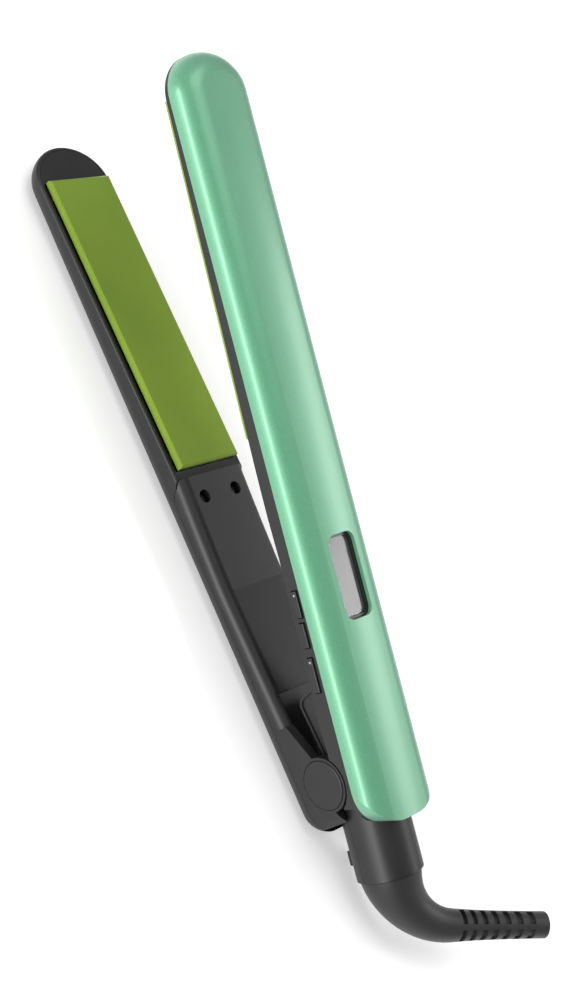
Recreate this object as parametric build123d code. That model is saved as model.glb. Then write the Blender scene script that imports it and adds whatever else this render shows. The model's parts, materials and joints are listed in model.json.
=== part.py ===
"""Hair straightener with two long heated plates, a side hinge and a swivelling cord sleeve.

Millimetres.  +X runs from the hinge to the tips, +Y is the side with the buttons, +Z is up.
The lower arm lies on the plane z = 0 with its back, and the origin is on that plane, straight
under the hinge axis, at mid width.  Each arm is drawn lying on its back.  The upper arm is
then turned over about the height of the hinge axis and swung open.
"""
import os
from math import cos, exp, radians, sin, tan

from build123d import *

# ---- driving dimensions -------------------------------------------------------------------
hinge_height = 17.0        # hinge axis above the back of the arm
tip_x = 216.5              # tip of both arms
arm_width = 29.0
taper = 1.6                # slope of the closing plane towards the back of the arm, degrees
open_angle = 16.0          # angle between the closing planes when the springs have opened the arms
tip_round = 13.0           # length of the elliptical tip, seen from above
back_radius = 7.0          # edge radius along the back of the lower arm
crown_radius = 7.8         # edge radius along the crown of the upper cover
crown_rise = 1.6           # how far the crown stands over its long edges, at mid width
wall = 1.2                 # wall of every moulded shell
joint_gap = 0.1            # gap between two mouldings that close on each other

# lower arm
lower_rear = 14.0          # how far the lower arm reaches behind the hinge axis
lower_rear_round = 8.0
lower_parting = 6.6        # height at which the handle cover closes on the back shell
handle_front = 101.0       # parting line between the handle and the plate surround
handle_recess_front = 1.5  # handle face below the closing plane, at its front end
handle_recess = 4.2        # the same, from handle_flat_x to the hinge
handle_flat_x = 64.0
shoulder_radius = 4.1
rim_drop = 2.9             # rim of the shell below the closing plane, along the plates
rim_radius = 0.8           # rounding of that rim

# upper arm
upper_rear = 14.5
upper_rear_round = 11.5
cover_depth = 6.6          # depth of the painted upper cover
upper_step_x = 80.0        # where the upper handle's inner face begins to drop back
upper_flat_x = 68.0        # where it reaches its full recess
upper_recess_front = 3.0
upper_recess_step = 3.6
upper_recess = 4.2
upper_hinge_recess = 4.8   # clears the hinge spring
upper_hinge_x = 10.0

# plates
plate_length = 100.0
plate_width = 25.0
plate_start = 104.0
plate_thickness = 2.2
plate_bevel = 0.6
plate_side_gap = 0.2
plate_meet_gap = 0.15      # from a plate to the closing plane
plate_travel = 0.8
surround_drop = 2.9        # top of the surround below the closing plane
surround_depth = 7.2       # underside of the surround below the closing plane
surround_floor = 0.8
rail_depth = 2.0
rail_width = 1.2
rail_y = 8.8
heater_length = 60.0
heater_thickness = 1.4
clamp_thickness = 0.5
shield_thickness = 0.4
plate_spring_radius = 1.0
plate_spring_wire = 0.4
plate_spring_inset = 5.0
plate_spring_y = 11.0
wire_radius = 0.8          # leads of the heaters
wire_y = 1.2

# hinge
ear_radius = 8.5
ear_inner_y = 11.2         # inner face of the lower arm's ears
pivot_cap_radius = 7.55
pivot_cap_proud = 0.3
pivot_cap_depth = 1.5
groove = 0.15              # groove round the pivot cap
hinge_clearance = 0.5      # round the ears, in the upper housing
lug_radius = 7.0
lug_inner_y = 6.6
lug_side_gap = 0.5         # from lug to ear
pin_radius = 2.0
pin_running_gap = 0.05
bushing_wall = 1.2
spring_wire = 1.0
spring_coil_radius = 2.95
spring_turns = 4
pocket_front = 30.0
pocket_floor = 9.0
pocket_rear_floor = 5.8
pocket_step_x = 6.0         # behind the axis, where the pocket's floor drops
guard_rim = 0.8
guard_rim_proud = 0.5
guard_tip_x = 25.0         # lowest corner of the finger guard
guard_drop = 5.4
guard_tip_radius = 3.2

# screws of the handles
screw_x = 94.0
screw_y = 6.7
screw_head_radius = 2.0
screw_head_height = 1.4
screw_shank_radius = 1.2
screw_hole_radius = 2.1
screw_sink = 3.0
boss_radius = 3.1

# display
display_x = 58.1
display_length = 25.4
display_width = 11.4
display_corner = 3.0
frame_wall = 0.9
frame_depth = 2.6
window_thickness = 0.8
window_sink = 0.6          # window below the top of its bezel
module_thickness = 2.0
board_length = 58.0
board_screw_inset = 9.0
board_width = 18.0
board_thickness = 1.2
board_screw_length = 2.0
board_x = 56.0
board_z = 8.2

# buttons: name, centre x, length
buttons = (("power_button", 54.0, 8.0), ("plus_button", 44.7, 7.4), ("minus_button", 32.8, 10.4))
button_height = 2.0
button_proud = 0.6
button_gap = 0.25
button_travel = 0.5
button_below_closing = 7.1
button_flange = 0.5
button_flange_depth = 0.5
switch_body = 3.4

# tail, lock and swivel
tail_radius = 10.3
tail_axis_above = 3.6      # tail axis above the closing plane of the upper arm
tail_front = 8.0
tail_end = 31.8
tail_split_below = 1.8     # parting line of the under cover, measured from the tail axis
slider_x = 25.8
slider_length = 4.6
slider_width = 8.0
slider_proud = 1.5
slider_travel = 3.0
swivel_gap = 0.35
socket_radius = 5.6
hub_collar_radius = 7.0
boot_start_radius = 9.45
boot_end_radius = 4.1
boot_taper_length = 18.2   # distance over which the sleeve loses most of its girth
boot_bend_radius = 22.0
boot_bend_angle = 70.7
boot_lead = 0.5            # straight stretch before the bend
boot_tail = 32.6           # straight stretch after the bend
boot_roll = 22.0           # how far the bend is turned up round the tail axis, degrees
boot_bore = 2.9
boot_liner = 0.4           # wall left under the windows
window_rings = 7
window_first = 29.5        # distance of the first ring of windows along the sleeve
window_pitch = 3.3
window_pitch_growth = 0.18
window_angle = 68.0
window_share = 0.52        # share of the pitch that is open

half_width = arm_width / 2
slope = tan(radians(taper))
plate_end = plate_start + plate_length


def closing(x):
    """Height of the closing plane above the back of the arm."""
    return hinge_height - slope * x


# frame whose z = 0 is the closing plane, with its origin on the hinge axis
closing_frame = Pos(0, 0, hinge_height) * Rot(0, taper, 0)


def turn_over(shape):
    """Take a piece drawn in the arm frame to its place in the open upper arm."""
    flipped = mirror(shape, Plane.XY.offset(hinge_height))
    return flipped.rotate(Axis((0, 0, hinge_height), (0, 1, 0)), 2 * taper - open_angle)


def block(x0, x1, y0, y1, z0, z1):
    """Box between two corners."""
    return Pos((x0 + x1) / 2, (y0 + y1) / 2, (z0 + z1) / 2) * Box(x1 - x0, y1 - y0, z1 - z0)


def rod_z(x, y, z0, z1, radius):
    """Upright cylinder."""
    return Pos(x, y, (z0 + z1) / 2) * Cylinder(radius, z1 - z0)


def rod_y(x, z, y0, y1, radius):
    """Cylinder along the hinge direction."""
    return Pos(x, (y0 + y1) / 2, z) * Rot(90, 0, 0) * Cylinder(radius, y1 - y0)


def rod_x(y, z, x0, x1, radius):
    """Cylinder along the arm."""
    return Pos((x0 + x1) / 2, y, z) * Rot(0, 90, 0) * Cylinder(radius, x1 - x0)


def side_prism(points, y0, y1):
    """Outline in x and z, extruded from y0 to y1."""
    face = make_face(Polyline(*[(x, y0, z) for x, z in points], close=True))
    return extrude(face, amount=y1 - y0, dir=(0, 1, 0))


def arm_plan(inset, rear, rear_round):
    """Outline of an arm from above: rounded corners at the rear and an elliptical tip."""
    half = half_width - inset
    x0 = rear_round - rear
    x1 = tip_x - tip_round
    plan = Pos((x0 + x1) / 2) * Rectangle(x1 - x0, 2 * half)
    plan += Pos(x0) * RectangleRounded(2 * (rear_round - inset), 2 * half, rear_round - inset - 0.01)
    plan += Pos(x1) * Ellipse(tip_round - inset, half)
    return plan


def arm_block(inset, rear, rear_round, radius, height):
    """Arm lying on its back, with its back edge rounded, moved in by inset all round."""
    body = Pos(0, 0, inset) * extrude(arm_plan(inset, rear, rear_round), amount=height - inset)
    back = body.edges().filter_by(lambda e: e.center().Z < inset + 0.01)
    return fillet(back, radius - inset)


# ---- pieces that both arms have -------------------------------------------------------------
def plate():
    """Aluminium plate with two rails that hold the heater on its underside."""
    top = -plate_meet_gap
    body = block(plate_start, plate_end, -plate_width / 2, plate_width / 2, top - plate_thickness, top)
    body = chamfer(body.faces().sort_by(Axis.Z)[-1].edges(), plate_bevel)
    under = top - plate_thickness
    for side in (-1, 1):
        y = side * rail_y
        body += block(
            plate_start + 12, plate_end - 12, y - rail_width / 2, y + rail_width / 2, under - rail_depth, under
        )
    return closing_frame * body


def heater():
    """Flat ceramic heater on the underside of the plate, between the rails."""
    x = (plate_start + plate_end) / 2
    top = -plate_meet_gap - plate_thickness
    half = rail_y - rail_width / 2 - joint_gap
    body = block(x - heater_length / 2, x + heater_length / 2, -half, half, top - heater_thickness, top)
    return closing_frame * body


def heater_clamp():
    """Sprung sheet clip that presses the heater against the plate."""
    x = (plate_start + plate_end) / 2
    top = -plate_meet_gap - plate_thickness - heater_thickness
    half = rail_y - rail_width / 2 - joint_gap
    length = heater_length + 6
    body = block(x - length / 2, x + length / 2, -half, half, top - clamp_thickness, top)
    for slot_x in (x - 20, x, x + 20):
        body -= block(slot_x - 5, slot_x + 5, -2.5, 2.5, top - 1, top + 1)
    return closing_frame * body


def surround(cavity):
    """Heat-proof tray round the plate, let into the shell and closing the tip."""
    x0 = handle_front + 0.35
    x1 = tip_x - wall - joint_gap
    y = half_width
    body = closing_frame * block(x0, x1 + 4, -y, y, -surround_depth, -surround_drop)
    body = body & cavity
    gap = plate_side_gap
    low = surround_floor - surround_depth
    well = block(
        plate_start - gap, plate_end + gap, -plate_width / 2 - gap, plate_width / 2 + gap, low, 1
    )
    body -= closing_frame * well
    window = block(plate_start + 16, plate_end - 16, -6, 6, -surround_depth - 1, low + 1)
    return body - closing_frame * window


def heat_shield():
    """Mica sheet under the tray."""
    top = -surround_depth - joint_gap
    y = plate_width / 2 - 3.5
    body = block(plate_start + 4, plate_end - 4, -y, y, top - shield_thickness, top)
    return closing_frame * body


def plate_spring_places():
    """Where the four springs under a plate stand."""
    for x in (plate_start + plate_spring_inset, plate_end - plate_spring_inset):
        for y in (-plate_spring_y, plate_spring_y):
            yield x, y


def plate_springs():
    """Four small coil springs that let the plate float."""
    low = surround_floor - surround_depth
    high = -plate_meet_gap - plate_thickness
    height = high - low - plate_spring_wire
    path = Helix(pitch=height / 4, height=height, radius=plate_spring_radius)
    ring = Plane(origin=path @ 0, z_dir=path % 0) * Circle(plate_spring_wire / 2)
    coil = sweep(ring, path, is_frenet=True)
    start = low + plate_spring_wire / 2
    return [closing_frame * Pos(x, y, start) * coil for x, y in plate_spring_places()]


def screw(x, y, head_top, shank_end):
    """Pan-head screw standing upright, its head at the closing side of the arm."""
    body = rod_z(x, y, head_top - screw_head_height, head_top, screw_head_radius)
    body = chamfer(body.faces().sort_by(Axis.Z)[-1].edges(), 0.4)
    for angle in (0, 90):
        slot = Rot(0, 0, angle) * Box(2.4, 0.5, 1.2)
        body -= Pos(x, y, head_top) * slot
    return body + rod_z(x, y, shank_end, head_top - screw_head_height, screw_shank_radius)


def screw_seat(recess):
    """Height on which the heads of the two handle screws sit."""
    return closing(screw_x) - recess - screw_sink - screw_head_height


def handle_screws(recess, end):
    """The two screws that hold the handle together in front."""
    top = screw_seat(recess) + screw_head_height
    return [screw(screw_x, y, top, end) for y in (-screw_y, screw_y)]


def screw_posts(low, high):
    """Posts with a pilot hole that the two handle screws bite into."""
    posts = None
    for y in (-screw_y, screw_y):
        post = rod_z(screw_x, y, low, high, boss_radius)
        posts = post if posts is None else posts + post
    return posts


def screw_pilots(low, high):
    """Pilot holes in the posts."""
    holes = None
    for y in (-screw_y, screw_y):
        hole = rod_z(screw_x, y, low, high, screw_shank_radius + 0.05)
        holes = hole if holes is None else holes + hole
    return holes


def sunk_holes(shell, recess, thickness):
    """Sink the two screw heads in tubes that hang from the inner face of a handle."""
    seat = screw_seat(recess)
    for y in (-screw_y, screw_y):
        shell += rod_z(screw_x, y, seat - thickness, seat + screw_sink, boss_radius + 0.4)
        shell -= rod_z(screw_x, y, seat, closing(screw_x) + 5, screw_hole_radius)
        shell -= rod_z(screw_x, y, seat - thickness - 1, seat + 1, screw_shank_radius + 0.2)
    return shell


def heater_wires(x_rear, floor):
    """The two leads of a heater, lying on the floor of the handle."""
    z = floor + wire_radius + joint_gap
    return [rod_x(y, z, x_rear, plate_start - 1.5, wire_radius) for y in (-wire_y, wire_y)]


# ---- lower arm ------------------------------------------------------------------------------
lower_outer = arm_block(0, lower_rear, lower_rear_round, back_radius, hinge_height + 2)
lower_cavity = arm_block(wall, lower_rear, lower_rear_round, back_radius, hinge_height + 3)
lower_fit = arm_block(wall + joint_gap, lower_rear, lower_rear_round, back_radius, hinge_height + 3)

pocket_y = ear_inner_y
pocket = block(-lower_rear - 5, pocket_front, -pocket_y, pocket_y, pocket_floor, hinge_height + 20)
pocket += block(
    -lower_rear - 5, -pocket_step_x, -pocket_y, pocket_y, pocket_rear_floor, hinge_height + 20
)


def rim_outline(gap):
    """Side outline under the rim of the back shell, which sweeps up in an S where the plates begin."""
    z0 = lower_parting
    z1 = closing(handle_front) - rim_drop
    rise = z1 - z0
    return [
        (-lower_rear - 1, z0 + gap),
        (handle_front - 8 - gap, z0 + gap),
        (handle_front - 5 - gap, z0 + 0.1 * rise + gap),
        (handle_front - 3 - gap, z0 + 0.35 * rise + gap),
        (handle_front - 2 - gap, z0 + 0.7 * rise + gap),
        (handle_front - gap, z1 + gap),
        (tip_x + 1, closing(tip_x) - rim_drop + gap),
        (tip_x + 1, -1),
        (-lower_rear - 1, -1),
    ]


def rim_edges(shell):
    """Outer edge of the rim along the plates and round the tip."""
    return shell.edges().filter_by(
        lambda e: e.center().X > handle_front + 10
        and abs(e.center().Z - closing(e.center().X) + rim_drop) < 0.3
    )


def lower_cover():
    """Back shell of the lower arm, full height along the plates and low under the handle."""
    shell = lower_outer & side_prism(rim_outline(0), -arm_width, arm_width)
    shell = fillet(rim_edges(shell), rim_radius) - lower_cavity
    shell += screw_posts(wall - 0.1, screw_seat(handle_recess_front) - 1.6)
    shell -= screw_pilots(wall + 1.0, hinge_height)
    rib = block(pocket_front + 4, pocket_front + 5.5, -half_width, half_width, wall - 0.1, 6.5)
    shell += rib & lower_outer
    return shell - pocket


def handle_top(inset):
    """Side outline of the handle cover, moved in by inset."""
    z_front = closing(handle_front) - handle_recess_front - inset
    z_flat = closing(handle_flat_x) - handle_recess - inset
    z_rear = closing(18) - handle_recess - inset
    x_mid = (handle_front + handle_flat_x) / 2
    z_mid = closing(x_mid) - (0.42 * handle_recess_front + 0.58 * handle_recess) - inset
    low = lower_parting + joint_gap - (1 if inset else 0)
    x1 = handle_front - inset
    x0 = 10 + inset
    curve = ThreePointArc((x1, 0, z_front), (x_mid, 0, z_mid), (handle_flat_x, 0, z_flat))
    rest = Polyline((handle_flat_x, 0, z_flat), (x0, 0, z_rear), (x0, 0, low), (x1, 0, low), (x1, 0, z_front))
    face = make_face(curve + rest)
    half = half_width - inset
    return Pos(0, -half, 0) * extrude(face, amount=2 * half, dir=(0, 1, 0))


def round_shoulders(body, radius):
    """Round the two long top edges of the handle cover."""
    long_edges = body.edges().filter_by(
        lambda e: abs(e.center().Z - lower_parting) > 2.5 and abs(e.center().Y) > half_width - 4 and e.length > 15
    )
    return fillet(long_edges, radius)


def cap_seat(side):
    """Round recess in an ear for the pivot cap, with the hole for the hinge pin."""
    outer = half_width + 1
    depth = half_width - pivot_cap_depth
    hole = rod_y(0, hinge_height, depth, outer, pivot_cap_radius + groove)
    hole += rod_y(0, hinge_height, ear_inner_y - 1, outer, pin_radius)
    return hole if side > 0 else mirror(hole, Plane.XZ)


def lower_handle_cover():
    """Inner shell of the lower handle, with the two ears of the hinge."""
    shell = round_shoulders(handle_top(0), shoulder_radius) - round_shoulders(handle_top(wall), shoulder_radius - wall)
    ear_profile = [
        (-lower_rear, lower_parting + joint_gap),
        (-lower_rear, hinge_height - 2.0),
        (-lower_rear + 2.0, hinge_height),
        (ear_radius, hinge_height),
        (20, closing(20) - handle_recess),
        (20, lower_parting + joint_gap),
    ]
    ears = side_prism(ear_profile, ear_inner_y, half_width)
    ears += rod_y(0, hinge_height, ear_inner_y, half_width, ear_radius)
    ears += side_prism(ear_profile, -half_width, -ear_inner_y)
    ears += rod_y(0, hinge_height, -half_width, -ear_inner_y, ear_radius)
    plan = arm_block(0, lower_rear, lower_rear_round, back_radius, hinge_height + 12)
    ears = ears & plan
    floor = block(-lug_radius, pocket_front + wall, -half_width + wall, half_width - wall,
                  lower_parting + joint_gap, pocket_floor)
    front = block(pocket_front, pocket_front + wall, -ear_inner_y - wall, ear_inner_y + wall,
                  lower_parting + joint_gap, closing(pocket_front) - handle_recess - 0.5)
    cheeks = block(9, pocket_front + wall, -ear_inner_y - wall, -ear_inner_y,
                   lower_parting + joint_gap, closing(pocket_front) - handle_recess - 0.5)
    cheeks += mirror(cheeks, Plane.XZ)
    shell += ears + floor + front + cheeks
    shell = sunk_holes(shell, handle_recess_front, 1.4)
    shell -= pocket
    for side in (-1, 1):
        shell -= cap_seat(side)
        y0, y1 = sorted((side * (half_width - wall - joint_gap), side * (half_width + 1)))
        shell -= side_prism(rim_outline(joint_gap), y0, y1)
    return shell


def pivot_cap(side):
    """Round cap that hides the end of the hinge pin."""
    inner = half_width - pivot_cap_depth
    body = rod_y(0, hinge_height, inner, half_width + pivot_cap_proud, pivot_cap_radius)
    body = fillet(body.faces().sort_by(Axis.Y)[-1].edges(), 0.5)
    return body if side > 0 else mirror(body, Plane.XZ)


def hinge_pin():
    """Steel pin held in both ears."""
    end = half_width - pivot_cap_depth
    return rod_y(0, hinge_height, -end, end, pin_radius)


def hinge_spring():
    """Coil round the hinge pin that opens the arms, with one leg in each arm."""
    height = spring_turns * (spring_wire + 0.5)
    path = Helix(pitch=height / spring_turns, height=height, radius=spring_coil_radius)
    ring = Plane(origin=path @ 0, z_dir=path % 0) * Circle(spring_wire / 2)
    coil = sweep(ring, path, is_frenet=True)
    return Pos(0, height / 2, hinge_height) * Rot(90, 0, 0) * coil


# ---- upper arm, drawn lying on its back ---------------------------------------------------------
def arched_block(inset, height):
    """Upper arm with an arched crown, moved in by inset all round."""
    half = half_width - inset
    top = inset - crown_rise
    arch = ThreePointArc((0, -half, inset), (0, 0, top), (0, half, inset))
    sides = Polyline((0, half, inset), (0, half, height), (0, -half, height), (0, -half, inset))
    longer = upper_rear + 2 * crown_radius
    bar = Pos(-longer - 1, 0, 0) * extrude(make_face(arch + sides), amount=tip_x + longer + 2, dir=(1, 0, 0))
    depth = height - top + 1
    body = bar & (Pos(0, 0, top - 1) * extrude(arm_plan(inset, longer, upper_rear_round), amount=depth))
    crown = body.edges().filter_by(lambda e: e.center().Z < inset + 1)
    body = fillet(crown, crown_radius - inset)
    # the rear is cut off square, so the arch of the crown shows there
    return body & (Pos(0, 0, top - 1) * extrude(arm_plan(inset, upper_rear, upper_rear_round), amount=depth))


upper_outer = arched_block(0, hinge_height + 2)
upper_cavity = arched_block(wall, hinge_height + 3)
upper_fit = arched_block(wall + joint_gap, hinge_height + 3)
tail_z = hinge_height - tail_axis_above
split_z = tail_z + tail_split_below


def inner_crown(y):
    """Height of the inside of the painted cover, at a distance y from mid width."""
    return wall - crown_rise * (1 - (y / (half_width - wall)) ** 2)


def display_opening(grow, z0, z1):
    """Rounded opening for the display."""
    outline = RectangleRounded(display_length + 2 * grow, display_width + 2 * grow, display_corner + grow)
    return Pos(display_x, 0, z0) * extrude(outline, amount=z1 - z0)


def upper_cover():
    """Painted cover over the back of the upper arm."""
    keep = block(-upper_rear - 1, tip_x + 1, -half_width - 1, half_width + 1, -crown_rise - 1, cover_depth)
    shell = (upper_outer & keep) - upper_cavity
    shell += screw_posts(-crown_rise / 3, screw_seat(upper_recess_front) - 1.6)
    shell -= screw_pilots(wall + 1.0, hinge_height)
    shell -= display_opening(0, -crown_rise - 1, wall + 1)
    return shell - rod_x(0, tail_z, -upper_rear - 5, -tail_front + wall + joint_gap, tail_radius + joint_gap)


def upper_profile(inset):
    """Side outline of the upper housing, from the cover's edge to the inner face."""
    low = cover_depth + joint_gap
    return [
        (-upper_rear - 1, low - 3),
        (-upper_rear - 1, low + 1.6 - inset),
        (-tail_front, low + 1.6 - inset),
        (-tail_front + inset, closing(0) - upper_hinge_recess - inset),
        (upper_hinge_x, closing(upper_hinge_x) - upper_hinge_recess - inset),
        (upper_hinge_x + 6, closing(upper_hinge_x + 6) - upper_recess - inset),
        (upper_flat_x, closing(upper_flat_x) - upper_recess - inset),
        (upper_step_x, closing(upper_step_x) - upper_recess_step - inset),
        (handle_front, closing(handle_front) - upper_recess_front - inset),
        (handle_front + 0.6, closing(handle_front) - rim_drop - inset),
        (tip_x + 1, closing(tip_x) - rim_drop - inset),
        (tip_x + 1, low - 3),
    ]


def guard_prism(shrink, y0, y1):
    """Finger guard that hangs from the housing in front of the hinge, moved in by shrink."""
    z = hinge_height
    corners = [(30, z - 5), (guard_tip_x, z + guard_drop), (4, z - 0.5), (2, z - 7)]
    face = make_face(Polyline(*[(x, y0, zz) for x, zz in corners], close=True))
    tip = [v for v in face.vertices() if abs(v.X - guard_tip_x) < 0.1]
    face = fillet(tip, guard_tip_radius)
    if shrink:
        face = offset(face, -shrink)
    return extrude(face, amount=y1 - y0, dir=(0, 1, 0))


def upper_housing():
    """Black housing of the upper arm, with the hinge lugs, the finger guard and the tail."""
    keep = side_prism(upper_profile(0), -half_width - 1, half_width + 1)
    low = cover_depth + joint_gap
    body = upper_outer & keep & block(-50, tip_x + 1, -20, 20, low, 30)
    body = fillet(rim_edges(body), rim_radius)
    # the deck behind the hinge closes the cover and carries the tail
    hollow = (upper_cavity & side_prism(upper_profile(wall), -half_width, half_width)
              & block(-tail_front + wall, tip_x, -20, 20, low - 1, 30))
    body -= hollow
    well = closing_frame * block(handle_front, tip_x, -half_width, half_width, -12, 2)
    body -= well & upper_cavity
    body -= rod_y(0, hinge_height, ear_inner_y - 0.3, half_width + 1, ear_radius + hinge_clearance)
    body -= rod_y(0, hinge_height, -half_width - 1, 0.3 - ear_inner_y, ear_radius + hinge_clearance)
    body = sunk_holes(body, upper_recess_front, 1.4)
    # hinge lugs and guard
    lug_outer = ear_inner_y - lug_side_gap
    for side in (-1, 1):
        a, b = sorted((side * lug_inner_y, side * lug_outer))
        lug = rod_y(0, hinge_height, a, b, lug_radius)
        lug += block(-lug_radius, lug_radius, a, b, low + 2, hinge_height)
        g0, g1 = sorted((side * (lug_outer - guard_rim_proud - 1.2), side * (lug_outer - guard_rim_proud)))
        guard = guard_prism(0, g0, g1)
        r0, r1 = sorted((side * (lug_outer - guard_rim_proud - 0.6), side * lug_outer))
        rim = guard_prism(0, r0, r1) - guard_prism(guard_rim, r0 - 1, r1 + 1)
        body += lug + guard + rim
    seat = pin_radius + pin_running_gap + bushing_wall
    body -= rod_y(0, hinge_height, -half_width, half_width, seat)
    # tail
    tail = rod_x(0, tail_z, -tail_end, -tail_front + wall, tail_radius)
    tail -= rod_x(0, tail_z, -tail_end - 1, -tail_front, tail_radius - wall)
    tail = tail & block(-tail_end - 1, 0, -20, 20, -20, split_z)
    body -= rod_x(0, tail_z, -tail_end, -tail_front, tail_radius - wall)
    body += tail
    socket_seat = rod_x(0, tail_z, -tail_end + 3, -tail_end + 5, tail_radius - wall + 0.2)
    socket_seat -= rod_x(0, tail_z, -tail_end, 0, socket_radius + joint_gap)
    body += socket_seat & block(-60, 0, -20, 20, -20, split_z)
    # slots for the buttons
    for name, x, length in buttons:
        z = closing(x) - button_below_closing
        g = button_gap
        body -= block(x - length / 2 - g, x + length / 2 + g, half_width - wall - 1, half_width + 1,
                      z - button_height / 2 - g, z + button_height / 2 + g)
    # posts for the control board
    for x in board_screw_places():
        body += rod_z(x, 0, board_z + board_thickness, closing(x) - upper_recess - 0.5, 2.6)
        body -= rod_z(x, 0, 0, board_z + board_screw_length + 0.2, 0.8)
    return body


def tail_under_cover():
    """Strip that closes the underside of the tail."""
    tube = rod_x(0, tail_z, -tail_end, -tail_front - 1.2, tail_radius)
    tube -= rod_x(0, tail_z, -tail_end - 1, 0, tail_radius - wall)
    strip = tube & block(-60, 0, -20, 20, split_z + joint_gap, 60)
    half = slider_width / 2 - 1.0
    x0 = -slider_x - slider_length / 2 + 1.0
    x1 = -slider_x + slider_length / 2 - 1.0 + slider_travel
    return strip - block(x0 - 0.3, x1 + 0.3, -half - 0.3, half + 0.3, split_z, 60)


def lock_slider():
    """Thumb slider of the closing lock, on the underside of the tail."""
    low = tail_z + sqrt_chord(slider_width / 2) + 0.15
    high = tail_z + tail_radius + slider_proud
    thumb = block(-slider_x - slider_length / 2, -slider_x + slider_length / 2,
                  -slider_width / 2, slider_width / 2, low, high)
    thumb -= rod_x(0, tail_z, -60, 0, tail_radius + 0.15)
    thumb = fillet(thumb.faces().sort_by(Axis.Z)[-1].edges(), 0.4)
    half = slider_width / 2 - 1.0
    stem = block(-slider_x - slider_length / 2 + 1.0, -slider_x + slider_length / 2 - 1.0,
                 -half, half, tail_z + tail_radius - wall - 1.6, high - 0.5)
    return thumb + stem


def sqrt_chord(y):
    """Height of the tail's surface over its axis, at a distance y from the middle."""
    return (tail_radius ** 2 - y ** 2) ** 0.5


def frame_top():
    """Height of the bezel, which lies against the inside of the painted cover."""
    return inner_crown(display_width / 2 + frame_wall) + joint_gap


def display_frame():
    """Bezel round the display, under the opening of the painted cover."""
    top = frame_top()
    body = display_opening(frame_wall, top, top + frame_depth)
    return body - display_opening(-frame_wall, top - 1, top + frame_depth + 1)


def display_window():
    """Clear window in the bezel."""
    top = frame_top() + window_sink
    return display_opening(-frame_wall - 0.05, top, top + window_thickness)


def display_module():
    """Liquid crystal module behind the window."""
    top = frame_top() + frame_depth + joint_gap
    half = display_length / 2 + frame_wall
    return block(display_x - half, display_x + half, -6.4, 6.4, top, top + module_thickness)


def board_screw_places():
    """Where the two screws of the control board stand."""
    half = board_length / 2 - board_screw_inset
    return (board_x - half, board_x + half)


def control_board():
    """Circuit board of the temperature control."""
    body = block(board_x - board_length / 2, board_x + board_length / 2, -board_width / 2, board_width / 2,
                 board_z, board_z + board_thickness)
    for x in board_screw_places():
        body -= rod_z(x, 0, 0, 30, 1.1)
    return body


def board_parts():
    """Relay, coil and header standing on the control board."""
    top = board_z - 0.05
    module_back = frame_top() + frame_depth + joint_gap + module_thickness
    return [
        block(28.5, 33.5, -7, 3, top - 3.6, top),
        block(78.5, 83.5, -7.5, -1.5, top - 3.0, top),
        block(display_x - 8, display_x + 8, -5, 5, module_back + joint_gap, top),
    ]


def board_screws():
    """Two small screws that hold the control board."""
    found = []
    for x in board_screw_places():
        body = rod_z(x, 0, board_z - 1.0, board_z, 1.7) + rod_z(x, 0, board_z, board_z + board_screw_length, 0.75)
        found.append(body)
    return found


def button(x, length):
    """Key with a flange inside the housing wall."""
    z = closing(x) - button_below_closing
    half = button_height / 2
    inner = half_width - wall
    key = block(x - length / 2, x + length / 2, inner - 0.2, half_width + button_proud, z - half, z + half)
    key = fillet(key.faces().sort_by(Axis.Y)[-1].edges(), 0.35)
    f = button_flange
    flange = block(x - length / 2 - f, x + length / 2 + f, inner - 0.1 - button_flange_depth, inner - 0.1,
                   z - half - f, z + half + f)
    return key + flange


def switch_face():
    """How far out the small switches reach, leaving the buttons their travel."""
    return half_width - wall - 0.1 - button_flange_depth - button_travel - 0.1


def switch_board():
    """Upright board that carries the three small switches."""
    y = switch_face() - 1.5
    z = closing(44) - button_below_closing
    return block(26, 60, y - 0.8, y, z - 2.6, z + 1.2)


def tact_switches():
    """One small switch behind each button."""
    y = switch_face()
    found = []
    for name, x, length in buttons:
        z = closing(x) - button_below_closing
        half = switch_body / 2
        body = block(x - half, x + half, y - 1.5, y - 0.4, z - half + 0.2, z + half - 0.2)
        found.append(body + rod_y(x, z, y - 0.5, y, 0.9))
    return found


def hinge_bushings():
    """Bushings in the lugs that run on the hinge pin."""
    found = []
    for side in (-1, 1):
        a, b = sorted((side * lug_inner_y, side * (ear_inner_y - lug_side_gap)))
        tube = rod_y(0, hinge_height, a, b, pin_radius + pin_running_gap + bushing_wall)
        found.append(tube - rod_y(0, hinge_height, a - 1, b + 1, pin_radius + pin_running_gap))
    return found


def thermal_fuse():
    """Fuse strapped to the heater clamp of the upper plate."""
    top = -plate_meet_gap - plate_thickness - heater_thickness - clamp_thickness
    x = (plate_start + plate_end) / 2 + 10
    body = block(x - 4, x + 4, -1.4, 1.4, top - 0.9, top)
    return closing_frame * body


# ---- swivel and cord sleeve, drawn on the tail axis of the upper arm ---------------------------
def swivel_hub():
    """Flanged hub of the sleeve, turning in the seat of the tail."""
    x = -tail_end
    hub = rod_x(0, tail_z, x - swivel_gap, x + 7.5, socket_radius - 0.05)
    collar = rod_x(0, tail_z, x + 5 + swivel_gap, x + 6.6, hub_collar_radius)
    return (hub + collar) - rod_x(0, tail_z, x - 5, x + 10, boot_bore)


def slip_contacts():
    """Brush block that feeds the swivel."""
    x = -tail_end + 7.5 + 0.4
    body = rod_x(0, tail_z, x, x + 3.0, socket_radius)
    return body - rod_x(0, tail_z, x - 1, x + 5, 1.6)


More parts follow.
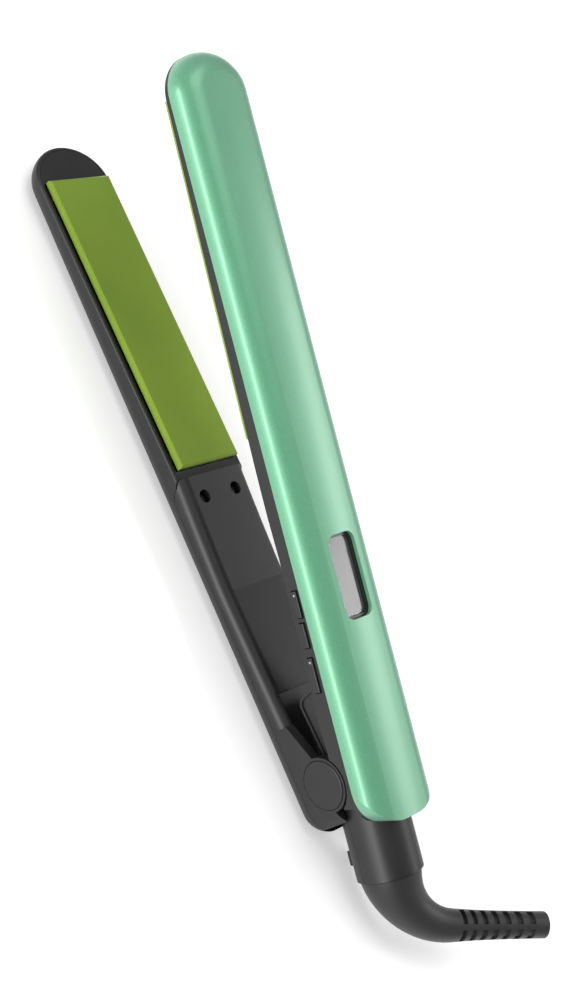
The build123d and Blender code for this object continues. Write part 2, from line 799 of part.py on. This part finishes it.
def sleeve_path():
    """Centre line of the sleeve, on the plane z = 0: straight, bent away from the buttons, straight."""
    x0 = -tail_end - swivel_gap
    x1 = x0 - boot_lead
    bend = radians(boot_bend_angle)
    centre_y = -boot_bend_radius
    x2 = x1 - boot_bend_radius * sin(bend)
    y2 = centre_y + boot_bend_radius * cos(bend)
    xm = x1 - boot_bend_radius * sin(bend / 2)
    ym = centre_y + boot_bend_radius * cos(bend / 2)
    x3 = x2 - boot_tail * cos(bend)
    y3 = y2 - boot_tail * sin(bend)
    lead = Line((x0, 0, 0), (x1, 0, 0))
    arc = ThreePointArc((x1, 0, 0), (xm, ym, 0), (x2, y2, 0))
    run = Line((x2, y2, 0), (x3, y3, 0))
    return lead, arc, run


def sleeve_place(s):
    """Point and direction on the centre line, s millimetres from its start."""
    x0 = -tail_end - swivel_gap
    bend = radians(boot_bend_angle)
    arc_length = boot_bend_radius * bend
    if s <= boot_lead:
        return Vector(x0 - s, 0, 0), Vector(-1, 0, 0)
    turned = min((s - boot_lead) / boot_bend_radius, bend)
    x = x0 - boot_lead - boot_bend_radius * sin(turned)
    y = -boot_bend_radius * (1 - cos(turned))
    way = Vector(-cos(turned), -sin(turned), 0)
    past = max(0.0, s - boot_lead - arc_length)
    return Vector(x, y, 0) + way * past, way


def sleeve_length():
    """Length of the centre line."""
    return boot_lead + boot_bend_radius * radians(boot_bend_angle) + boot_tail


def sleeve_radius(s):
    """Outer radius of the sleeve, s millimetres from its start."""
    return boot_end_radius + (boot_start_radius - boot_end_radius) * exp(-(s / boot_taper_length) ** 1.3)


def sleeve_plane(s):
    """Plane across the centre line."""
    point, way = sleeve_place(s)
    return Plane(origin=point, x_dir=(0, 0, 1), z_dir=way)


def cord_boot():
    """Tapered rubber sleeve that guards the cord, with rings of windows near its end."""
    steps = 16
    rings = []
    for i in range(steps + 1):
        s = sleeve_length() * i / steps
        rings.append(sleeve_plane(s) * Circle(sleeve_radius(s)))
    body = loft(rings)
    path = sleeve_path()
    bore = sweep(sleeve_plane(0) * Circle(boot_bore), Wire(list(path)))
    body -= bore
    s = window_first
    pitch = window_pitch
    for ring in range(window_rings):
        width = pitch * window_share
        outer = sleeve_radius(s) + 2
        band = Circle(outer) - Circle(boot_bore + boot_liner)
        for quarter in range(4):
            turn = 45 + 90 * quarter
            half = radians(window_angle / 2)
            reach = 3 * outer
            wedge = make_face(Polyline((0, 0), (reach * cos(half), -reach * sin(half)),
                                       (reach * cos(half), reach * sin(half)), close=True))
            cut = extrude(band & wedge, amount=width)
            body -= sleeve_plane(s).location * Rot(0, 0, turn) * cut
        pitch += window_pitch_growth
        s += pitch
    return Pos(0, 0, tail_z) * Rot(boot_roll, 0, 0) * body


# ---- write the nodes ------------------------------------------------------------------------------
def as_group(pieces):
    """One node that holds several separate solids."""
    solids = []
    for piece in pieces:
        solids += piece.solids()
    return Compound(solids)


def write(name, shape):
    """Write a node, made of one solid or of separate ones."""
    if isinstance(shape, (list, tuple)):
        shape = as_group(shape)
    solids = shape.solids()
    if not solids:
        raise ValueError("no solid in " + name)
    shape = solids[0] if len(solids) == 1 else Compound(list(solids))
    export_step(shape, "parts/" + name + ".step")


def upper(shape):
    """Turn a piece or a list of pieces over into the upper arm."""
    if isinstance(shape, (list, tuple)):
        return [turn_over(s) for s in shape]
    return turn_over(shape)


def main():
    """Build and write every node."""
    os.makedirs("parts", exist_ok=True)
    lower = {
        "lower_cover": lower_cover(),
        "lower_handle_cover": lower_handle_cover(),
        "lower_plate_surround": surround(lower_fit),
        "lower_heat_shield": heat_shield(),
        "lower_plate_springs": plate_springs(),
        "lower_screws": handle_screws(handle_recess_front, wall + 2.0),
        "pivot_cap_left": pivot_cap(1),
        "pivot_cap_right": pivot_cap(-1),
        "hinge_pin": hinge_pin(),
        "hinge_spring": hinge_spring(),
        "lower_plate": plate(),
        "lower_heater": heater(),
        "lower_heater_clamp": heater_clamp(),
        "lower_heater_wires": heater_wires(pocket_front + 8, wall),
    }
    raised = {
        "upper_cover": upper_cover(),
        "upper_housing": upper_housing(),
        "upper_plate_surround": surround(upper_fit),
        "upper_heat_shield": heat_shield(),
        "upper_plate_springs": plate_springs(),
        "upper_screws": handle_screws(upper_recess_front, wall + 2.0),
        "upper_plate": plate(),
        "upper_heater": heater(),
        "upper_heater_clamp": heater_clamp(),
        "upper_heater_wires": heater_wires(board_x + board_length / 2 - 8, inner_crown(wire_y + wire_radius)),
        "thermal_fuse": thermal_fuse(),
        "hinge_bushings": hinge_bushings(),
        "tail_under_cover": tail_under_cover(),
        "lock_slider": lock_slider(),
        "display_frame": display_frame(),
        "display_window": display_window(),
        "display_module": display_module(),
        "control_board": control_board(),
        "board_parts": board_parts(),
        "board_screws": board_screws(),
        "switch_board": switch_board(),
        "tact_switches": tact_switches(),
        "swivel_hub": swivel_hub(),
        "slip_contacts": slip_contacts(),
        "cord_boot": cord_boot(),
    }
    for name, x, length in buttons:
        raised[name] = button(x, length)
    for name, shape in lower.items():
        write(name, shape)
    for name, shape in raised.items():
        write(name, upper(shape))


if __name__ == "__main__":
    main()
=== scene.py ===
import json
from math import pi, radians, tan

import bmesh
import bpy
from mathutils import Matrix, Vector


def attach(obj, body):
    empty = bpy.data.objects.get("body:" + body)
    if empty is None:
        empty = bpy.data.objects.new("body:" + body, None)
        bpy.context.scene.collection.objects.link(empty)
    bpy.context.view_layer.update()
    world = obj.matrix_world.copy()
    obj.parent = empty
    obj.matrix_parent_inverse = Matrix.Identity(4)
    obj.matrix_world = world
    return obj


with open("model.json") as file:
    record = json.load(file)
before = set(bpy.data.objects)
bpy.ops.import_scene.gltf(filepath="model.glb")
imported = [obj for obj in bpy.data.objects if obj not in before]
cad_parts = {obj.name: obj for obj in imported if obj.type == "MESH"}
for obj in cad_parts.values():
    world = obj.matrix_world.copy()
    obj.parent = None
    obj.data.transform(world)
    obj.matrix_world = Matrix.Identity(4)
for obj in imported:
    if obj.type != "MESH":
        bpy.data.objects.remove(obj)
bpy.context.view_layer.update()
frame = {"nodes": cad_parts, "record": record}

nodes = frame["nodes"]
MM = 0.001

# ---- main numbers, millimetres and degrees -------------------------------------------------------
HINGE_HEIGHT = 17.0
OPEN_ANGLE = 16.0
TAPER = 1.6
HALF_WIDTH = 14.5
# keys that carry a painted highlight: a small pale disc standing in for the glint of light at the key's
# front end
KEYS_WITH_PAINTED_HIGHLIGHT = {"power_button": (54.0, 8.0), "minus_button": (32.8, 10.4)}    # centre and length
KEY_BELOW_CLOSING = 7.1
KEY_PROUD = 0.6
DOT_FROM_END = 1.3
DOT_RADIUS = 0.42
DOT_TOP_RADIUS = 0.36
DOT_THICKNESS = 0.2
DOT_PROUD = 0.01
FLOOR_HALF_SIZE = 4.0      # metres
FLOOR_BELOW = 0.05
SENSOR_WIDTH = 36.0
LENS = 65.21


# ---- shader helpers -------------------------------------------------------------------------
def linear(code):
    """Turn an sRGB hex colour into the linear values that Blender works with."""
    values = [int(code[i:i + 2], 16) / 255 for i in (1, 3, 5)]
    return [v / 12.92 if v <= 0.04045 else ((v + 0.055) / 1.055) ** 2.4 for v in values] + [1.0]


def add(tree, kind, settings=None, **inputs):
    """Add one shader node; an input is a value or the output of another node."""
    node = tree.nodes.new(kind)
    for name, value in (settings or {}).items():
        setattr(node, name, value)
    for name, value in inputs.items():
        socket = node.inputs[name.replace("_", " ")]
        if isinstance(value, bpy.types.NodeSocket):
            tree.links.new(value, socket)
        else:
            socket.default_value = value
    return node


def new_material(name):
    """Empty material with its node tree, and the coordinates of the piece itself."""
    made = bpy.data.materials.new(name)
    made.use_nodes = True
    tree = made.node_tree
    tree.nodes.clear()
    return made, tree, add(tree, "ShaderNodeTexCoord").outputs["Object"]


def finish(tree, shader):
    """Send the shader to the output."""
    add(tree, "ShaderNodeOutputMaterial", Surface=shader.outputs[0])


def stretched(tree, place, x, y, z):
    """Coordinates scaled differently along each axis."""
    return add(tree, "ShaderNodeMapping", Vector=place, Scale=(x, y, z)).outputs["Vector"]


def noise(tree, place, size, detail=2.0, roughness=0.5):
    """Noise whose features are about size metres across."""
    made = add(tree, "ShaderNodeTexNoise", Vector=place, Scale=1 / size, Detail=detail, Roughness=roughness)
    return made.outputs["Fac"]


def ramp(tree, factor, low, high, start=0.3, end=0.7):
    """Blend between two hex colours as factor goes from start to end."""
    made = add(tree, "ShaderNodeValToRGB", Fac=factor)
    first, last = made.color_ramp.elements
    first.position, last.position = start, end
    first.color, last.color = linear(low), linear(high)
    return made.outputs["Color"]


def spread(tree, factor, low, high):
    """Map a 0 to 1 value onto a range."""
    return add(tree, "ShaderNodeMapRange", Value=factor, To_Min=low, To_Max=high).outputs["Result"]


def bump(tree, height, depth):
    """Small relief, depth metres high."""
    return add(tree, "ShaderNodeBump", Height=height, Distance=depth).outputs["Normal"]


# ---- materials --------------------------------------------------------------------------------
def moulded_plastic(name, low, high, grain, depth, rough_low, rough_high):
    """Injection-moulded plastic whose mould was spark-eroded to an even fine grain.

    The grain breaks up the edges of the highlights.  The slow change of roughness and tone is
    the flow of the melt, and it keeps broad faces from looking flat.
    """
    made, tree, place = new_material(name)
    flow = noise(tree, stretched(tree, place, 0.5, 1, 1), 14 * MM, 3)
    fine = noise(tree, place, grain, 2)
    surface = add(
        tree, "ShaderNodeBsdfPrincipled",
        Base_Color=ramp(tree, flow, low, high),
        Roughness=spread(tree, flow, rough_low, rough_high),
        IOR=1.5,
        Normal=bump(tree, fine, depth),
    )
    finish(tree, surface)
    return made


def pearl_paint():
    """Sprayed pearl paint under clear lacquer on moulded plastic.

    Mica flakes sparkle a little and turn paler where the eye looks along the surface, while the
    satin lacquer on top carries soft reflections with a very slight orange peel.
    """
    made, tree, place = new_material("pearl_green_sprayed_under_lacquer")
    cells = add(tree, "ShaderNodeTexVoronoi", Vector=place, Scale=1 / (0.12 * MM)).outputs["Color"]
    flake = add(tree, "ShaderNodeSeparateColor", Color=cells).outputs["Red"]
    cloud = noise(tree, place, 30 * MM, 2)
    peel = noise(tree, place, 1.6 * MM, 2)
    edge = add(tree, "ShaderNodeLayerWeight", Blend=0.35).outputs["Facing"]
    body = ramp(tree, flake, "#4f8f6c", "#5e9d7a", 0.0, 1.0)
    pale = ramp(tree, cloud, "#80b198", "#8abba1")
    # the mix node has one A and one B for each kind of value; 6 and 7 are those for colours
    colour = add(tree, "ShaderNodeMix", {"data_type": "RGBA"}, Factor=edge)
    tree.links.new(body, colour.inputs[6])
    tree.links.new(pale, colour.inputs[7])
    surface = add(
        tree, "ShaderNodeBsdfPrincipled",
        Base_Color=colour.outputs[2],
        Metallic=0.3,
        Roughness=spread(tree, flake, 0.36, 0.48),
        Coat_Weight=0.35,
        Coat_Roughness=0.22,
        Coat_Normal=bump(tree, peel, 0.004 * MM),
        Normal=bump(tree, flake, 0.003 * MM),
    )
    finish(tree, surface)
    return made


def coated_plate():
    """Ground aluminium plate with a baked lime ceramic coating.

    The coating is satin: the lengthwise grinding still shows as faint streaks in the highlight.
    """
    made, tree, place = new_material("lime_ceramic_coating_baked_on_ground_aluminium")
    streak = noise(tree, stretched(tree, place, 0.03, 1, 1), 0.5 * MM, 3)
    speck = noise(tree, place, 0.6 * MM, 3, 0.7)
    cloud = noise(tree, place, 40 * MM, 2)
    surface = add(
        tree, "ShaderNodeBsdfPrincipled",
        Base_Color=ramp(tree, cloud, "#78952a", "#86a22f"),
        Metallic=0.45,
        Roughness=spread(tree, streak, 0.34, 0.44),
        IOR=1.5,
        Coat_Weight=0.25,
        Coat_Roughness=0.25,
        Normal=bump(tree, speck, 0.006 * MM),
    )
    finish(tree, surface)
    return made


def metal(name, low, high, rough_low, rough_high, stretch):
    """Bare metal with the marks of its making: turned, drawn or rolled, along one direction."""
    made, tree, place = new_material(name)
    marks = noise(tree, stretched(tree, place, *stretch), 0.25 * MM, 3)
    tone = noise(tree, place, 3 * MM, 2)
    surface = add(
        tree, "ShaderNodeBsdfPrincipled",
        Base_Color=ramp(tree, tone, low, high),
        Metallic=1.0,
        Roughness=spread(tree, marks, rough_low, rough_high),
        Normal=bump(tree, marks, 0.004 * MM),
    )
    finish(tree, surface)
    return made


def plain_sheet(name, low, high, size, roughness, depth):
    """Dull sheet or fired part with a mottled tone."""
    made, tree, place = new_material(name)
    mottle = noise(tree, place, size, 4)
    surface = add(
        tree, "ShaderNodeBsdfPrincipled",
        Base_Color=ramp(tree, mottle, low, high),
        Roughness=spread(tree, mottle, roughness - 0.06, roughness + 0.06),
        Normal=bump(tree, mottle, depth),
    )
    finish(tree, surface)
    return made


def smoked_window():
    """Polished acrylic, tinted grey, with the faint waviness of a moulded sheet."""
    made, tree, place = new_material("smoked_acrylic_moulded_and_polished")
    wave = noise(tree, place, 5 * MM, 2)
    surface = add(
        tree, "ShaderNodeBsdfPrincipled",
        Base_Color=ramp(tree, wave, "#4c4b4d", "#565556"),
        Roughness=spread(tree, wave, 0.10, 0.16),
        IOR=1.49,
        Alpha=0.82,
        Normal=bump(tree, wave, 0.003 * MM),
    )
    finish(tree, surface)
    return made


def soft_rubber():
    """Moulded thermoplastic rubber with a dry, slightly velvety skin.

    A weak sheen lifts the tone at grazing angles, as such rubber does.
    """
    made, tree, place = new_material("black_rubber_moulded_matt")
    skin = noise(tree, place, 0.18 * MM, 3)
    cloud = noise(tree, place, 9 * MM, 2)
    surface = add(
        tree, "ShaderNodeBsdfPrincipled",
        Base_Color=ramp(tree, cloud, "#101011", "#161517"),
        Roughness=spread(tree, cloud, 0.46, 0.56),
        Sheen_Weight=0.12,
        Sheen_Roughness=0.5,
        Normal=bump(tree, skin, 0.008 * MM),
    )
    finish(tree, surface)
    return made


finishes = {
    "black_shell": moulded_plastic(
        "black_nylon_moulded_fine_grain", "#101011", "#161617", 0.22 * MM, 0.010 * MM, 0.40, 0.50),
    "surround_black": moulded_plastic(
        "black_heatproof_plastic_moulded_satin", "#0d0d0e", "#131314", 0.18 * MM, 0.006 * MM, 0.36, 0.46),
    "green_paint": pearl_paint(),
    "lime_plate": coated_plate(),
    "steel": metal("steel_turned_bright", "#8f9194", "#a7a9ac", 0.22, 0.34, (0.2, 1, 1)),
    "spring_steel": metal("spring_wire_drawn_and_oiled", "#6d6c69", "#85837f", 0.28, 0.40, (1, 1, 1)),
    "brass": metal("brass_turned", "#a8854a", "#bd9a5c", 0.22, 0.34, (1, 0.2, 1)),
    "heater_ceramic": plain_sheet(
        "alumina_heater_fired_white", "#d9d6cf", "#e6e3dc", 0.8 * MM, 0.6, 0.01 * MM),
    "mica": plain_sheet("mica_sheet_pressed", "#a89b80", "#c1b496", 2.5 * MM, 0.4, 0.01 * MM),
    "bezel": moulded_plastic(
        "dark_grey_bezel_moulded_satin", "#1d1d1e", "#252526", 0.15 * MM, 0.005 * MM, 0.30, 0.38),
    "window": smoked_window(),
    "display_glass": plain_sheet(
        "display_cell_grey_laminated", "#4d4d4f", "#555556", 6 * MM, 0.25, 0.001 * MM),
    "circuit_board": plain_sheet(
        "glass_epoxy_board_solder_masked", "#1d4a2e", "#265a38", 1.2 * MM, 0.35, 0.008 * MM),
    "component": plain_sheet(
        "component_cases_moulded_black", "#202022", "#2b2b2d", 0.6 * MM, 0.5, 0.008 * MM),
    "button_black": moulded_plastic(
        "black_keys_moulded_satin", "#151516", "#1c1c1d", 0.12 * MM, 0.004 * MM, 0.28, 0.36),
    "sleeve_rubber": soft_rubber(),
    "wire_insulation": plain_sheet(
        "glass_braid_sleeving_woven", "#b9b4a6", "#cdc8ba", 0.5 * MM, 0.8, 0.05 * MM),
}
slot_of = {part["node"]: part["material_slot"] for part in frame["record"]["subparts"]}
for name, piece in nodes.items():
    made = finishes[slot_of[name]]
    for place in piece.material_slots:
        place.material = made


def new_piece(name, mesh, material, body):
    """Turn a bmesh into an object that rides on a body."""
    bmesh.ops.recalc_face_normals(mesh, faces=mesh.faces)
    data = bpy.data.meshes.new(name)
    mesh.to_mesh(data)
    mesh.free()
    data.materials.append(material)
    piece = bpy.data.objects.new(name, data)
    bpy.context.scene.collection.objects.link(piece)
    for face in data.polygons:
        face.use_smooth = True
    if body:
        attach(piece, body)
    return piece


# ---- small visible details --------------------------------------------------------------------------
def painted_key_highlight(key):
    """Small pale disc near the front end of a key, set into its face: a painted highlight standing in for
    the glint of light on the key's end.
    """
    centre_x, length = KEYS_WITH_PAINTED_HIGHLIGHT[key]
    x = centre_x + length / 2 - DOT_FROM_END
    # the key is drawn with its arm lying on its back, before the arm is turned over
    height = HINGE_HEIGHT - tan(radians(TAPER)) * x - KEY_BELOW_CLOSING
    y = HALF_WIDTH + KEY_PROUD + DOT_PROUD - DOT_THICKNESS / 2
    centre = Vector((x, y, 2 * HINGE_HEIGHT - height)) * MM
    hinge = Matrix.Translation((0, 0, HINGE_HEIGHT * MM))
    swing = Matrix.Rotation(radians(2 * TAPER - OPEN_ANGLE), 4, "Y")
    facing = Matrix.Rotation(-pi / 2, 4, "X")
    mesh = bmesh.new()
    bmesh.ops.create_cone(
        mesh, cap_ends=True, segments=32,
        radius1=DOT_RADIUS * MM, radius2=DOT_TOP_RADIUS * MM, depth=DOT_THICKNESS * MM)
    place = hinge @ swing @ hinge.inverted() @ Matrix.Translation(centre) @ facing
    bmesh.ops.transform(mesh, matrix=place, verts=mesh.verts)
    name = key.replace("button", "painted_key_highlight")
    new_piece(name, mesh, key_highlight_paint, key.replace("button", "key"))


# pale grey of the key discs is painted highlight, the glint of light on the key ends, not a marking on the
# keys
key_highlight_paint = moulded_plastic(
    "pale_grey_painted_key_highlight", "#8d8f92", "#a3a5a8", 0.10 * MM, 0.002 * MM, 0.35, 0.45)
for key in KEYS_WITH_PAINTED_HIGHLIGHT:
    painted_key_highlight(key)


# ---- floor ------------------------------------------------------------------------------------------
def floor():
    """Large matt white sheet that the straightener lies on."""
    made, tree, place = new_material("white_card_matt")
    tooth = noise(tree, place, 0.5 * MM, 3)
    cloud = noise(tree, place, 200 * MM, 2)
    surface = add(
        tree, "ShaderNodeBsdfPrincipled",
        Base_Color=ramp(tree, cloud, "#f6f6f6", "#fafafa"),
        Roughness=spread(tree, tooth, 0.85, 0.95),
        Emission_Color=linear("#ffffff"),
        Emission_Strength=0.22,
        Normal=bump(tree, tooth, 0.004 * MM),
    )
    finish(tree, surface)
    mesh = bmesh.new()
    bmesh.ops.create_grid(mesh, x_segments=1, y_segments=1, size=FLOOR_HALF_SIZE)
    bmesh.ops.translate(mesh, verts=mesh.verts, vec=(0, 0, -FLOOR_BELOW * MM))
    sheet = new_piece("floor", mesh, made, None)


floor()


# ---- light ------------------------------------------------------------------------------------------
def softbox(name, aim, direction, distance, width, height, power):
    """Rectangular soft light that looks at the object; direction points from the object to it."""
    data = bpy.data.lights.new(name, "AREA")
    data.shape = "RECTANGLE"
    data.size, data.size_y = width, height
    data.energy = power
    lamp = bpy.data.objects.new(name, data)
    way = Vector(direction).normalized()
    lamp.location = Vector(aim) + way * distance
    lamp.rotation_euler = way.to_track_quat("Z", "Y").to_euler()
    bpy.context.scene.collection.objects.link(lamp)


middle = (0.1, 0, 0.03)
softbox("light_over_the_back", middle, (-0.25, -0.78, 0.62), 1.3, 0.7, 0.22, 5)
softbox("light_from_the_side", middle, (0.0, 0.98, 0.22), 1.2, 1.4, 0.12, 16)
softbox("light_from_above", middle, (0.3, 0.0, 1.0), 1.4, 1.0, 1.0, 8)

world = bpy.data.worlds.new("studio")
bpy.context.scene.world = world
world.use_nodes = True
world.node_tree.nodes["Background"].inputs["Color"].default_value = linear("#ffffff")
world.node_tree.nodes["Background"].inputs["Strength"].default_value = 0.42

# ---- camera -----------------------------------------------------------------------------------------
data = bpy.data.cameras.new("camera")
data.sensor_width = SENSOR_WIDTH
data.lens = LENS
data.clip_start, data.clip_end = 0.01, 20
camera = bpy.data.objects.new("camera", data)
camera.location = (0.015777, 0.382818, 0.402828)
camera.rotation_euler = (radians(28.521), radians(-38.825), radians(-121.085))
bpy.context.scene.collection.objects.link(camera)
bpy.context.scene.camera = camera

bpy.context.scene.view_settings.view_transform = "Standard"
